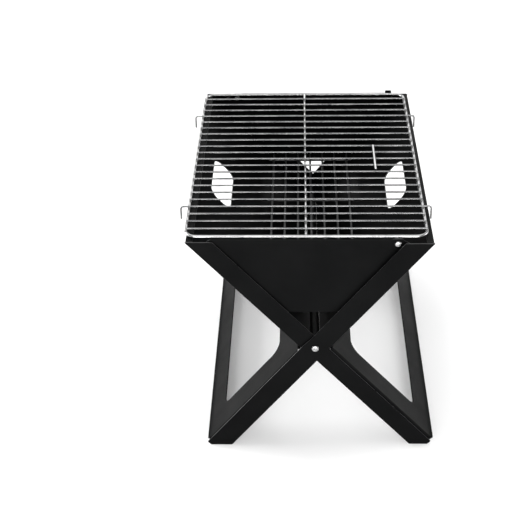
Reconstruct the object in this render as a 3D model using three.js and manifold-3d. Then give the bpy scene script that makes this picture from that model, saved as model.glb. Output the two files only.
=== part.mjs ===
// Folding camp grill: two crossed sheet-steel leg trays on one pivot, two lift-out end panels,
// a coal grate and a cooking grid. Millimetres, +Z up, +X across, the front end faces -Y.
import * as THREE from "three";
import { mergeVertices } from "three/addons/utils/BufferGeometryUtils.js";
import Module from "manifold-3d";

const wasm = await Module();
wasm.setup();
const { Manifold, Mesh: ManifoldMesh } = wasm;

// ---- driving dimensions ----
const LENGTH = 447;              // between the outer faces of the flanges
const RIM_HEIGHT = 312.2;         // floor to the top of the trays
const PIVOT_HEIGHT = 158.2;
const RIGHT_ANGLE_DEG = 51.0;    // open angle of the tray that forms the right wall
const LEFT_ANGLE_DEG = 47.7;     // open angle of the tray that forms the left wall
const SHEET = 1.2;               // sheet steel thickness
const CLEARANCE = 0.3;           // gap between pieces that touch on the real object
const WALL_SIDE = 15.2;          // middle line of a leg to the outer face of its fire wall
const FRAME_SIDE = 14.6;         // middle line of a leg to the outer face of its foot frame
// Distances of a flange's free edges from the middle line: beside the fire, beside the foot frame,
// and between the feet. Nested flanges are narrower, so that the other leg's sheets close over them.
const OUTER_EDGES = { fire: 12.8, frame: 14.0, feet: 14.2 };
const NESTED_EDGES = { fire: 10.4, frame: 11.0, feet: FRAME_SIDE - SHEET - CLEARANCE };
const WASHER_ROOM = 2.0;         // gap between the flanges of the two legs
const LIP = 9;                   // width of the folded lips
const RIM_STEP = 1.2;            // short upright step at the outer top corner of a flange
const FOOT_CHAMFER = 4.5;
const WALL_START = 12;           // distance from the pivot to the lower edge of a wall, at the flanges
const WALL_BOTTOM = -7;          // the same between the flanges, where the two walls close under the tube
const FRAME_START = 16;          // distance from the pivot to the upper edge of a foot frame
const WINDOW_START = 56;         // distance from the pivot to the upper edge of a window
const WINDOW_BORDER = 34;        // foot frame border below the window
const WINDOW_HALF_LENGTH = 176.3;
const HAND_HOLE_LENGTH = 102;
const HAND_HOLE_WIDTH = 38;
const HAND_HOLE_FROM_RIM = 51;   // rim to the middle of the hand hole, along the wall
const HAND_HOLE_SHIFT = 2.5;      // hand hole towards the back, seen from the front
const PANEL_BOTTOM = 208.2;       // height of the lower edge of an end panel
const PANEL_ABOVE_RIM = 3;
const PANEL_HEM = 7;             // height of the folded hem along the top of an end panel
const PANEL_SIDE = -5;           // offset of a panel's sides from the legs' middle lines
const PANEL_SCREW_DROP = 3.9;    // rim to the middle of the panel screw
const GRID_RING_RADIUS = 2;      // frame wire of the cooking grid
const GRID_BAR_RADIUS = 1.2;
const GRID_RIB_RADIUS = 1.5;
const GRID_HALF_WIDTH = 147.5;
const GRID_HALF_LENGTH = 211;
const GRID_RING_Y = 1.5;         // middle of the frame wire
const GRID_CORNER = 14;
const GRID_BARS = 21;
const GRID_PITCH = 19.25;
const GRID_BARS_Y = -3.5;        // middle of the row of bars
const GRID_DRIFT = 4;            // the bars stand a little closer together towards the front
const GRID_X = -12;              // the grid lies a little to the left of the pivot
const HOOK_BAR_FROM_END = 3;     // which bar, counted from each end, carries the hooks
const HOOK_REACH = 10.5;
const HOOK_DROP = 18;
const COAL_WIRE_RADIUS = 1.5;
const COAL_HEIGHT = 213.2;
const COAL_WIRES = 7;
const COAL_PITCH = 18.5;
const COAL_HALF_LENGTH = 209;
const COAL_CROSS_AT = [-194.5, -65, 65, 194.5];
const TUBE_RADIUS = 6;
const SCREW_RADIUS = 3;
const SCREW_HEAD_RADIUS = 4.6;
const PANEL_SCREW_HEAD_RADIUS = 4.0;
const PANEL_SCREW_RADIUS = 2;

const RISE = RIM_HEIGHT - PIVOT_HEIGHT;
const END_FACE = LENGTH / 2;
const INNER_END = END_FACE - SHEET - WASHER_ROOM;      // outer face of the nested flange
const CLEAR_END = INNER_END - SHEET - 0.4;             // everything that spans both legs ends here
const PANEL_FACE = CLEAR_END - 1.8;                    // outer face of an end panel

const radians = (degrees) => degrees * Math.PI / 180;

// ---- materials ----
function metal(name, colour, roughness, metalness) {
  return () => new THREE.MeshStandardMaterial({ name, color: colour, roughness, metalness });
}
const blackSteel = metal("black_powder_coat", 0x191a1b, 0.5, 0.2);
const brightWire = metal("bright_wire", 0xc9cbcc, 0.25, 1);
const dullWire = metal("dull_wire", 0x5b5c5c, 0.5, 0.9);
const zincSteel = metal("zinc_steel", 0xd5d6d6, 0.3, 1);
const darkSteel = metal("dark_steel", 0x2a2b2c, 0.45, 0.8);

// ---- solid helpers ----
function toSolid(geometry) {
  const bare = new THREE.BufferGeometry();
  bare.setAttribute("position", geometry.getAttribute("position").clone());
  if (geometry.index) bare.setIndex(geometry.index.clone());
  const welded = mergeVertices(bare, 1e-4);
  return new Manifold(new ManifoldMesh({
    numProp: 3,
    vertProperties: Float32Array.from(welded.getAttribute("position").array),
    triVerts: Uint32Array.from(welded.index.array),
  }));
}

function toGeometry(solid) {
  const mesh = solid.getMesh();
  const geometry = new THREE.BufferGeometry();
  geometry.setAttribute("position", new THREE.BufferAttribute(Float32Array.from(mesh.vertProperties), 3));
  geometry.setIndex(new THREE.BufferAttribute(Uint32Array.from(mesh.triVerts), 1));
  geometry.computeVertexNormals();
  return geometry;
}

function union(pieces) {
  return pieces.slice(1).reduce((whole, piece) => whole.add(piece), pieces[0]);
}

function shapeFrom(points) {
  return new THREE.Shape(points.map(([a, b]) => new THREE.Vector2(a, b)));
}

// A flat piece whose outline lies in the X-Z plane, spanning low to high along Y.
function uprightPlate(points, low, high, holes = []) {
  const shape = shapeFrom(points);
  holes.forEach((hole) => shape.holes.push(hole));
  const geometry = new THREE.ExtrudeGeometry(shape, { depth: high - low, bevelEnabled: false, curveSegments: 8 });
  geometry.rotateX(Math.PI / 2);
  geometry.translate(0, high, 0);
  return toSolid(geometry);
}

function roundHole(x, z, radius) {
  const hole = new THREE.Path();
  hole.absarc(x, z, radius, 0, 2 * Math.PI, true);
  return hole;
}

function box(low, high) {
  const size = high.map((value, i) => value - low[i]);
  const geometry = new THREE.BoxGeometry(...size);
  geometry.translate(...low.map((value, i) => value + size[i] / 2));
  return toSolid(geometry);
}

// A rounded opening through a sheet that lies in the X-Y plane, with its own radius at each end in X.
function roundedCut(x0, x1, halfLength, middle, radiusAtX0, radiusAtX1) {
  const shape = new THREE.Shape();
  const y0 = middle - halfLength;
  const y1 = middle + halfLength;
  shape.moveTo(x0 + radiusAtX0, y0);
  shape.lineTo(x1 - radiusAtX1, y0);
  shape.absarc(x1 - radiusAtX1, y0 + radiusAtX1, radiusAtX1, -Math.PI / 2, 0, false);
  shape.lineTo(x1, y1 - radiusAtX1);
  shape.absarc(x1 - radiusAtX1, y1 - radiusAtX1, radiusAtX1, 0, Math.PI / 2, false);
  shape.lineTo(x0 + radiusAtX0, y1);
  shape.absarc(x0 + radiusAtX0, y1 - radiusAtX0, radiusAtX0, Math.PI / 2, Math.PI, false);
  shape.lineTo(x0, y0 + radiusAtX0);
  shape.absarc(x0 + radiusAtX0, y0 + radiusAtX0, radiusAtX0, Math.PI, 1.5 * Math.PI, false);
  const geometry = new THREE.ExtrudeGeometry(shape, { depth: 60, bevelEnabled: false, curveSegments: 5 });
  geometry.translate(0, 0, -30);
  return toSolid(geometry);
}

function wire(from, to, radius, sides = 8) {
  const start = new THREE.Vector3(...from);
  const end = new THREE.Vector3(...to);
  const along = end.clone().sub(start);
  const geometry = new THREE.CylinderGeometry(radius, radius, along.length(), sides);
  geometry.applyQuaternion(new THREE.Quaternion().setFromUnitVectors(
    new THREE.Vector3(0, 1, 0), along.clone().normalize()));
  geometry.translate(...start.add(end).multiplyScalar(0.5).toArray());
  return geometry;
}

// ---- the leg: everything in leg coordinates, X along the leg, Z square to it, pivot at the origin ----
class Leg {
  constructor(angleDeg) {
    this.angle = radians(angleDeg);
    this.sin = Math.sin(this.angle);
    this.cos = Math.cos(this.angle);
  }

  // distance along the leg at which a line parallel to it, offset by across, reaches a height above the pivot
  along(height, across) {
    return (height - across * this.cos) / this.sin;
  }

  // open position to leg coordinates, both measured from the pivot
  fromOpen(x, height) {
    return [x * this.cos + height * this.sin, -x * this.sin + height * this.cos];
  }

  // how far out from the pivot a line offset by across is, at a height above the pivot
  reach(height, across) {
    return this.along(height, across) * this.cos - across * this.sin;
  }

  flange(low, high, edges) {
    const rim = this.reach(RISE - RIM_STEP, -WALL_SIDE);
    const foot = this.reach(FOOT_CHAMFER - PIVOT_HEIGHT, edges.frame);
    const outline = [
      this.fromOpen(this.reach(-PIVOT_HEIGHT, -edges.feet), -PIVOT_HEIGHT),
      [-6, -edges.feet],
      [6, -WALL_SIDE],
      this.fromOpen(rim, RISE - RIM_STEP),
      this.fromOpen(rim, RISE),
      this.fromOpen(this.reach(RISE, edges.fire), RISE),
      [6, edges.fire],
      [-6, edges.frame],
      this.fromOpen(foot, FOOT_CHAMFER - PIVOT_HEIGHT),
      this.fromOpen(foot + FOOT_CHAMFER, -PIVOT_HEIGHT),
    ];
    return uprightPlate(outline, low, high, [roundHole(0, 0, SCREW_RADIUS + CLEARANCE)]);
  }

  wallProfile(withLip) {
    const rim = this.reach(RISE - RIM_STEP, -WALL_SIDE);
    const inside = -WALL_SIDE + SHEET;
    const lip = [
      this.fromOpen(rim - LIP, RISE),
      this.fromOpen(rim - LIP, RISE - SHEET),
      this.fromOpen(this.reach(RISE - SHEET, inside), RISE - SHEET),
    ];
    const start = withLip ? WALL_BOTTOM : WALL_START;
    return [
      [start, -WALL_SIDE],
      this.fromOpen(rim, RISE - RIM_STEP),
      this.fromOpen(rim, RISE),
      ...(withLip ? lip : [this.fromOpen(this.reach(RISE, inside), RISE)]),
      [start, inside],
    ];
  }

  // Fire wall in the upper half with a full-length flange at each end, one bent sheet.
  tray() {
    const middle = this.along(RISE, -WALL_SIDE) - HAND_HOLE_FROM_RIM;
    const sheet = union([
      this.flange(-END_FACE, -END_FACE + SHEET, OUTER_EDGES),
      this.flange(INNER_END - SHEET, INNER_END, NESTED_EDGES),
      uprightPlate(this.wallProfile(false), -END_FACE, INNER_END),
      uprightPlate(this.wallProfile(true), -CLEAR_END, CLEAR_END),
    ]);
    const hole = roundedCut(middle - HAND_HOLE_WIDTH / 2, middle + HAND_HOLE_WIDTH / 2,
      HAND_HOLE_LENGTH / 2, 0, 15, 15);
    const throughWall = hole.translate([0, this.holeShift, -WALL_SIDE - 20]);
    return sheet.subtract(throughWall);
  }

  frameEnd() {
    return this.along(1 - PIVOT_HEIGHT, FRAME_SIDE - LIP);
  }

  // Pressed panel in the lower half, with a window and folded edges, set between the flanges.
  footFrame() {
    const end = this.frameEnd();
    const face = FRAME_SIDE - SHEET;
    const low = -END_FACE + SHEET + CLEARANCE;
    const high = INNER_END - SHEET - CLEARANCE;
    const plate = box([end, low, face], [-FRAME_START, high, FRAME_SIDE]);
    const window = roundedCut(end + WINDOW_BORDER, -WINDOW_START, WINDOW_HALF_LENGTH, 0, 9, 16);
    const edge = FRAME_SIDE - LIP;
    return union([
      plate.subtract(window),
      box([end, -CLEAR_END, edge], [end + SHEET, high, FRAME_SIDE]),
      box([-FRAME_START - SHEET, -CLEAR_END, edge], [-FRAME_START, high, FRAME_SIDE]),
      box([end + LIP, low, edge], [-FRAME_START - 6, low + SHEET, FRAME_SIDE]),
      box([end + LIP, high - SHEET, edge], [-FRAME_START - 6, high, FRAME_SIDE]),
    ]);
  }
}

const rightLeg = new Leg(RIGHT_ANGLE_DEG);
const leftLeg = new Leg(LEFT_ANGLE_DEG);
rightLeg.holeShift = HAND_HOLE_SHIFT;
leftLeg.holeShift = -HAND_HOLE_SHIFT;

// The pivot is moved in X so that the whole object is centred on the origin.
const HOOK_OUT = GRID_HALF_WIDTH + HOOK_REACH + GRID_BAR_RADIUS;
const leftmost = GRID_X - HOOK_OUT;
const rightmost = -leftLeg.reach(FOOT_CHAMFER - PIVOT_HEIGHT, OUTER_EDGES.frame);
const PIVOT_X = -(leftmost + rightmost) / 2;

// ---- scene graph ----
const group = new THREE.Group();

function addMesh(parent, name, geometry, material) {
  const mesh = new THREE.Mesh(geometry, material());
  mesh.name = name;
  parent.add(mesh);
  return mesh;
}

function legGroup(leg, turned) {
  const turn = new THREE.Group();
  turn.position.set(PIVOT_X, 0, PIVOT_HEIGHT);
  turn.rotation.z = turned ? Math.PI : 0;
  const tilt = new THREE.Group();
  tilt.rotation.y = -leg.angle;
  turn.add(tilt);
  group.add(turn);
  return tilt;
}

const rightTilt = legGroup(rightLeg, false);
addMesh(rightTilt, "right_wall_tray", toGeometry(rightLeg.tray()), blackSteel);
addMesh(rightTilt, "left_foot_frame", toGeometry(rightLeg.footFrame()), blackSteel);

const leftTilt = legGroup(leftLeg, true);
addMesh(leftTilt, "left_wall_tray", toGeometry(leftLeg.tray()), blackSteel);
addMesh(leftTilt, "right_foot_frame", toGeometry(leftLeg.footFrame()), blackSteel);

// ---- pivot: a tube the full length with a screw and washers at each end ----
const pivot = new THREE.Group();
pivot.position.set(PIVOT_X, 0, PIVOT_HEIGHT);
group.add(pivot);

function turnedPart(profile, segments) {
  const points = profile.map(([radius, height]) => new THREE.Vector2(radius, height));
  return new THREE.LatheGeometry(points, segments);
}

function panHeadScrew(shankRadius, shankLength, headRadius) {
  const headHeight = headRadius * 0.6;
  return turnedPart([
    [0, -shankLength], [shankRadius, -shankLength], [shankRadius, 0], [headRadius, 0],
    [headRadius, headHeight * 0.35], [headRadius * 0.82, headHeight * 0.8],
    [headRadius * 0.45, headHeight], [0, headHeight],
  ], 16);
}

function washer(inner, outer, thickness) {
  return turnedPart([[inner, 0], [outer, 0], [outer, thickness], [inner, thickness], [inner, 0]], 16);
}

const tube = turnedPart([
  [SCREW_RADIUS + CLEARANCE, -CLEAR_END], [TUBE_RADIUS, -CLEAR_END],
  [TUBE_RADIUS, CLEAR_END], [SCREW_RADIUS + CLEARANCE, CLEAR_END],
  [SCREW_RADIUS + CLEARANCE, -CLEAR_END],
], 16);
addMesh(pivot, "pivot_tube", tube, darkSteel);

const ENDS = [["front", -1], ["back", 1]];
ENDS.forEach(([place, side]) => {
  const outside = new THREE.Group();
  outside.position.y = side * (END_FACE + CLEARANCE);
  const between = new THREE.Group();
  between.position.y = side * (INNER_END + CLEARANCE);
  pivot.add(outside, between);
  const screw = addMesh(outside, `pivot_screw_${place}`,
    panHeadScrew(SCREW_RADIUS, 24, SCREW_HEAD_RADIUS), zincSteel);
  screw.rotation.x = side < 0 ? Math.PI : 0;
  const spacer = addMesh(between, `pivot_washer_${place}`,
    washer(SCREW_RADIUS + CLEARANCE, 7, WASHER_ROOM - 2 * CLEARANCE), zincSteel);
  spacer.rotation.x = side < 0 ? Math.PI : 0;
});

// ---- end panels, each with a screw and a nut, standing between the walls behind the flanges ----
function screwPlace(leg) {
  const flangeEdge = leg.reach(RISE - PANEL_SCREW_DROP, OUTER_EDGES.fire);
  return flangeEdge - (PANEL_SCREW_HEAD_RADIUS + 0.4) / leg.sin;
}

// Outline from the pivot, with the screw's corner on the right.
function panelOutline(leftEdge, rightEdge) {
  const top = RISE + PANEL_ABOVE_RIM;
  const bottom = PANEL_BOTTOM - PIVOT_HEIGHT;
  const shoulder = RISE - 9;
  const rightTop = screwPlace(rightEdge) + 5;
  const leftTop = -leftEdge.reach(RISE, NESTED_EDGES.fire) - 3;
  return [
    [-leftEdge.reach(bottom, PANEL_SIDE), bottom],
    [rightEdge.reach(bottom, PANEL_SIDE), bottom],
    [rightEdge.reach(shoulder, PANEL_SIDE), shoulder],
    [rightTop + 3, top - 3],
    [rightTop, top],
    [leftTop, top],
    [leftTop - 3, top - 3],
    [-leftEdge.reach(shoulder, PANEL_SIDE), shoulder],
  ];
}

function hexNut(radius, bore, thickness) {
  const corners = Array.from({ length: 6 }, (_, i) => [
    radius * Math.cos(i * Math.PI / 3), radius * Math.sin(i * Math.PI / 3)]);
  const shape = shapeFrom(corners);
  shape.holes.push(roundHole(0, 0, bore));
  return new THREE.ExtrudeGeometry(shape, { depth: thickness, bevelEnabled: false, curveSegments: 8 });
}

ENDS.forEach(([place, side]) => {
  const panel = new THREE.Group();
  panel.position.set(PIVOT_X, 0, PIVOT_HEIGHT);
  panel.rotation.z = side < 0 ? 0 : Math.PI;
  group.add(panel);
  const near = side < 0 ? rightLeg : leftLeg;
  const far = side < 0 ? leftLeg : rightLeg;
  const outline = panelOutline(far, near);
  const top = RISE + PANEL_ABOVE_RIM;
  const leftTop = outline[5][0];
  const screwX = screwPlace(near);
  const screwZ = RISE - PANEL_SCREW_DROP;
  const sheet = union([
    uprightPlate(outline, -PANEL_FACE, -PANEL_FACE + SHEET,
      [roundHole(screwX, screwZ, PANEL_SCREW_RADIUS + CLEARANCE)]),
    box([leftTop, -PANEL_FACE - SHEET, top - PANEL_HEM], [screwX - 6, -PANEL_FACE, top]),
  ]);
  const tab = box([leftTop - 4.2, -PANEL_FACE, top - 5], [leftTop + 5.3, -PANEL_FACE + SHEET, top + 4]);
  const body = side > 0 ? sheet.add(tab) : sheet;
  addMesh(panel, `${place}_end_panel`, toGeometry(body), blackSteel);

  const screw = addMesh(panel, `${place}_panel_screw`,
    panHeadScrew(PANEL_SCREW_RADIUS, 7, PANEL_SCREW_HEAD_RADIUS), zincSteel);
  screw.rotation.x = Math.PI;
  screw.position.set(screwX, -PANEL_FACE - CLEARANCE, screwZ);
  const nut = addMesh(panel, `${place}_panel_nut`,
    hexNut(4, PANEL_SCREW_RADIUS + CLEARANCE, 3.2), zincSteel);
  nut.rotation.x = Math.PI / 2;
  nut.position.set(screwX, -PANEL_FACE + SHEET + CLEARANCE + 3.2, screwZ);
});

// ---- cooking grid: frame wire, cross bars, centre rib and lifting bar ----
const grid = new THREE.Group();
grid.position.set(PIVOT_X + GRID_X, 0, RIM_HEIGHT + CLEARANCE);
group.add(grid);

// A ring of round wire: a torus whose four quarters are moved out to the corners.
function wireRing(halfX, halfY, corner, radius) {
  const perCorner = 6;
  const geometry = new THREE.TorusGeometry(corner, radius, 8, 4 * perCorner);
  geometry.rotateZ(Math.PI / (4 * perCorner));
  const position = geometry.getAttribute("position");
  for (let i = 0; i < position.count; i += 1) {
    const x = position.getX(i);
    const y = position.getY(i);
    position.setX(i, x + Math.sign(x) * (halfX - corner));
    position.setY(i, y + Math.sign(y) * (halfY - corner));
  }
  return toGeometry(toSolid(geometry));
}

const ring = addMesh(grid, "grid_frame_wire",
  wireRing(GRID_HALF_WIDTH, GRID_HALF_LENGTH, GRID_CORNER, GRID_RING_RADIUS), brightWire);
ring.position.set(0, GRID_RING_Y, GRID_RING_RADIUS);

const barHeight = 2 * GRID_RING_RADIUS + CLEARANCE + GRID_BAR_RADIUS;

// A bar that runs past the frame wire at both ends and turns down over the rims.
function hookedBar(halfWidth) {
  const bend = 5;
  const out = halfWidth + HOOK_REACH;
  const path = new THREE.CurvePath();
  const at = (x, z) => new THREE.Vector3(x, 0, z);
  path.add(new THREE.LineCurve3(at(-out, -HOOK_DROP), at(-out, -bend)));
  path.add(new THREE.QuadraticBezierCurve3(at(-out, -bend), at(-out, 0), at(-out + bend, 0)));
  path.add(new THREE.LineCurve3(at(-out + bend, 0), at(out - bend, 0)));
  path.add(new THREE.QuadraticBezierCurve3(at(out - bend, 0), at(out, 0), at(out, -bend)));
  path.add(new THREE.LineCurve3(at(out, -bend), at(out, -HOOK_DROP)));
  const section = new THREE.Shape();
  section.absarc(0, 0, GRID_BAR_RADIUS, 0, 2 * Math.PI, false);
  return new THREE.ExtrudeGeometry(section, {
    steps: 90, extrudePath: path, bevelEnabled: false, curveSegments: 3,
  });
}

for (let i = 0; i < GRID_BARS; i += 1) {
  const hooked = i === HOOK_BAR_FROM_END || i === GRID_BARS - 1 - HOOK_BAR_FROM_END;
  const half = GRID_HALF_WIDTH + 1;
  const geometry = hooked
    ? toGeometry(toSolid(hookedBar(GRID_HALF_WIDTH)))
    : wire([-half, 0, 0], [half, 0, 0], GRID_BAR_RADIUS);
  const label = String(i + 1).padStart(2, "0");
  const bar = addMesh(grid, `grid_bar_${label}`, geometry, brightWire);
  const step = i - (GRID_BARS - 1) / 2;
  const drift = GRID_DRIFT * (1 - (step / 10) ** 2);
  bar.position.set(0, GRID_BARS_Y + step * GRID_PITCH - drift, barHeight);
}

const ribHeight = barHeight - GRID_BAR_RADIUS - CLEARANCE - GRID_RIB_RADIUS;
const ribHalf = GRID_HALF_LENGTH - GRID_RING_RADIUS - CLEARANCE;
const rib = addMesh(grid, "grid_centre_rib",
  wire([0, -ribHalf, 0], [0, ribHalf, 0], GRID_RIB_RADIUS), brightWire);
rib.position.set(0, GRID_RING_Y, ribHeight);

const liftHeight = barHeight + GRID_BAR_RADIUS + CLEARANCE + GRID_RIB_RADIUS;
const lift = addMesh(grid, "grid_lifting_bar",
  wire([0, -35, 0], [0, 35, 0], GRID_RIB_RADIUS), brightWire);
lift.position.set(93, -8.5, liftHeight);

// ---- coal grate, resting across the walls ----
const coal = new THREE.Group();
const coalRise = COAL_HEIGHT - PIVOT_HEIGHT;
const coalLeft = leftLeg.reach(coalRise, -WALL_SIDE + SHEET);
const coalRight = rightLeg.reach(coalRise, -WALL_SIDE + SHEET);
const coalHalf = (coalLeft + coalRight) / 2 - COAL_WIRE_RADIUS / rightLeg.sin - 1.2;
coal.position.set(PIVOT_X + (coalRight - coalLeft) / 2, 0, COAL_HEIGHT);
group.add(coal);

COAL_CROSS_AT.forEach((y, i) => {
  addMesh(coal, `coal_grate_cross_${i + 1}`,
    wire([-coalHalf, y, 0], [coalHalf, y, 0], COAL_WIRE_RADIUS), dullWire);
});
for (let i = 0; i < COAL_WIRES; i += 1) {
  const bar = addMesh(coal, `coal_grate_bar_${i + 1}`,
    wire([0, -COAL_HALF_LENGTH, 0], [0, COAL_HALF_LENGTH, 0], COAL_WIRE_RADIUS), dullWire);
  bar.position.set((i - (COAL_WIRES - 1) / 2) * COAL_PITCH, 0, 2 * COAL_WIRE_RADIUS + CLEARANCE);
}

export default group;
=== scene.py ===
import math
import random

import bmesh
import bpy
from mathutils import Matrix, Vector, geometry

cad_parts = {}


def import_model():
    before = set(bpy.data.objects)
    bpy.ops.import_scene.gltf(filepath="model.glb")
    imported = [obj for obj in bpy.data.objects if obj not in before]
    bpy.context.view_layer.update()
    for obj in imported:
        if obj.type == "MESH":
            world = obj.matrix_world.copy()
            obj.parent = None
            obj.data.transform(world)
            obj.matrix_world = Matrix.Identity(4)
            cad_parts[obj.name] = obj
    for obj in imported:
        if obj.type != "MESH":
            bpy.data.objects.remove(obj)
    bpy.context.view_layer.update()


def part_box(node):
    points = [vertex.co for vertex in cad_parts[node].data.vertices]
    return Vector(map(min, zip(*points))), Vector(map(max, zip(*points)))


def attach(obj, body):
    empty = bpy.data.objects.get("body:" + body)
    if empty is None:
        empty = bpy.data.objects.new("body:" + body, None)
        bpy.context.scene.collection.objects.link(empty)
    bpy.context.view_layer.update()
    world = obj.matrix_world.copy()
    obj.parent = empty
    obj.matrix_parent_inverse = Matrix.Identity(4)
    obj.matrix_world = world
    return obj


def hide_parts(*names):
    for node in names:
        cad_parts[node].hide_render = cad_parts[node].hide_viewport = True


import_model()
random.seed(7)

# Folding camp grill. Lengths are millimetres, as in the CAD part, and MM turns them into metres.
# +X is the right side, -Y the front, +Z up.
MM = 0.001
LENGTH = 447.0
RIM_HEIGHT = 312.2
PIVOT_HEIGHT = 158.2
RIGHT_ANGLE_DEG = 51.0
LEFT_ANGLE_DEG = 47.7
SHEET = 1.2
CLEARANCE = 0.3
WALL_SIDE = 15.2
FRAME_SIDE = 14.6
OUTER_EDGES = {"fire": 12.8, "frame": 14.0, "feet": 14.2}
NESTED_EDGES = {"fire": 10.4, "frame": 11.0, "feet": FRAME_SIDE - SHEET - CLEARANCE}
WASHER_ROOM = 2.0
LIP = 9.0
FOOT_CHAMFER = 4.5
WALL_START = 12.0
WALL_BOTTOM = -7.0
FRAME_START = 16.0
KICK_WIDTH = 5.0          # strip along each foot that is kicked outwards
KICK_SLOPE = 0.4
WINDOW_START = 56.0
WINDOW_BORDER = 34.0
WINDOW_HALF_LENGTH = 176.3
WINDOW_FOOT_RADIUS = 9
WINDOW_TOP_RADIUS = 16
HAND_HOLE_LENGTH = 102.0
HAND_HOLE_WIDTH = 38.0
HAND_HOLE_CORNER = 15
HAND_HOLE_FROM_RIM = 51.0
HAND_HOLE_SHIFT = 2.5
PANEL_BOTTOM = 208.2
PANEL_ABOVE_RIM = 3.0
PANEL_HEM = 7.0
PANEL_SIDE = -5.0
PANEL_SCREW_DROP = 3.9
PANEL_SCREW_HEAD_RADIUS = 4.0
PANEL_SCREW_RADIUS = 2.0
PANEL_SCREW_LENGTH = 7
EAR_OUT = 4.2             # the small ear on top of the back panel, on both sides of its upper corner
EAR_IN = 5.3
EAR_HEIGHT = 4
NUT_RADIUS = 4
NUT_THICKNESS = 3.2
GRID_RING_RADIUS = 2.0
GRID_BAR_RADIUS = 1.2
GRID_RIB_RADIUS = 1.5
GRID_HALF_WIDTH = 147.5
GRID_HALF_LENGTH = 211.0
GRID_RING_Y = 1.5
GRID_CORNER = 14.0
GRID_BARS = 21
GRID_PITCH = 19.25
GRID_BARS_Y = -3.5
GRID_DRIFT = 4.0
GRID_X = -12.0
HOOK_BAR_FROM_END = 3
HOOK_REACH = 10.5
HOOK_DROP = 18.0
HOOK_BEND = 4.0
LIFTING_BAR_X = 93
LIFTING_BAR_Y = -8.5
LIFTING_BAR_HALF = 35
COAL_WIRE_RADIUS = 1.5
COAL_HEIGHT = 213.2
COAL_WIRES = 7
COAL_PITCH = 18.5
COAL_HALF_LENGTH = 209.0
COAL_CROSS_AT = (-194.5, -65.0, 65.0, 194.5)
TUBE_RADIUS = 6.0
SCREW_RADIUS = 3.0
SCREW_HEAD_RADIUS = 4.6
SCREW_LENGTH = 24
EDGE_ROUNDING = 0.22      # on every edge of the painted sheets

RISE = RIM_HEIGHT - PIVOT_HEIGHT
END_FACE = LENGTH / 2
INNER_END = END_FACE - SHEET - WASHER_ROOM
CLEAR_END = INNER_END - SHEET - 0.4
PANEL_FACE = CLEAR_END - 1.8
tube_low, tube_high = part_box("pivot_tube")
PIVOT_X = (tube_low.x + tube_high.x) / 2 / MM
PIVOT = Vector((PIVOT_X, 0, PIVOT_HEIGHT))


# ---- materials ----
RUBBED_BRIGHTER = 2.4


def shader(name):
    """A new material with its nodes, and a function that adds a node and links its inputs."""
    made = bpy.data.materials.new(name)
    made.use_nodes = True
    tree = made.node_tree
    principled = tree.nodes["Principled BSDF"]

    def node(kind, inputs=(), **settings):
        n = tree.nodes.new(kind)
        for key, value in settings.items():
            setattr(n, key, value)
        for key, value in dict(inputs).items():
            if isinstance(value, bpy.types.NodeSocket):
                tree.links.new(value, n.inputs[key])
            else:
                n.inputs[key].default_value = value
        return n

    return made, tree, principled, node


def ramp(node, source, stops):
    """A colour ramp through (position, colour) stops."""
    n = node("ShaderNodeValToRGB", {"Fac": source})
    elements = n.color_ramp.elements
    while len(elements) < len(stops):
        elements.new(0.5)
    for element, (position, colour) in zip(elements, stops):
        element.position = position
        element.color = (*colour, 1)
    return n.outputs["Color"]


def spread(node, source, low, high):
    """A noise value, which mostly lies between 0.3 and 0.7, stretched to run from low to high."""
    n = node("ShaderNodeMapRange", {"Value": source, "From Min": 0.3, "From Max": 0.7,
                                    "To Min": low, "To Max": high})
    return n.outputs["Result"]


def painted_steel(name, dark, light, rough, specular, grain, bump):
    """Satin powder coat: an orange-peel skin, faint clouds of dust and small rubbed spots."""
    made, tree, principled, node = shader(name)
    place = node("ShaderNodeTexCoord").outputs["Object"]
    clouds = node("ShaderNodeTexNoise", {"Vector": place, "Scale": 14.0, "Detail": 4.0, "Roughness": 0.6})
    peel = node("ShaderNodeTexNoise", {"Vector": place, "Scale": grain, "Detail": 2.0, "Roughness": 0.55})
    rubs = node("ShaderNodeTexNoise", {"Vector": place, "Scale": 160.0, "Detail": 5.0, "Roughness": 0.7})
    base = ramp(node, clouds.outputs["Fac"], [(0.3, dark), (0.7, light)])
    rubbed = ramp(node, rubs.outputs["Fac"], [(0.62, (0, 0, 0)), (0.8, (0.35, 0.35, 0.35))])
    worn = (*(channel * RUBBED_BRIGHTER for channel in light), 1)
    # inputs 6 and 7 and output 2 are the colour sockets of a Mix node
    colour = node("ShaderNodeMix", {"Factor": rubbed, 6: base, 7: worn}, data_type="RGBA")
    tree.links.new(colour.outputs[2], principled.inputs["Base Color"])
    uneven = spread(node, clouds.outputs["Fac"], rough - 0.05, rough + 0.07)
    tree.links.new(uneven, principled.inputs["Roughness"])
    skin = node("ShaderNodeBump", {"Height": peel.outputs["Fac"], "Strength": bump, "Distance": 0.0002})
    tree.links.new(skin.outputs["Normal"], principled.inputs["Normal"])
    principled.inputs["Specular IOR Level"].default_value = specular
    return made


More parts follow.
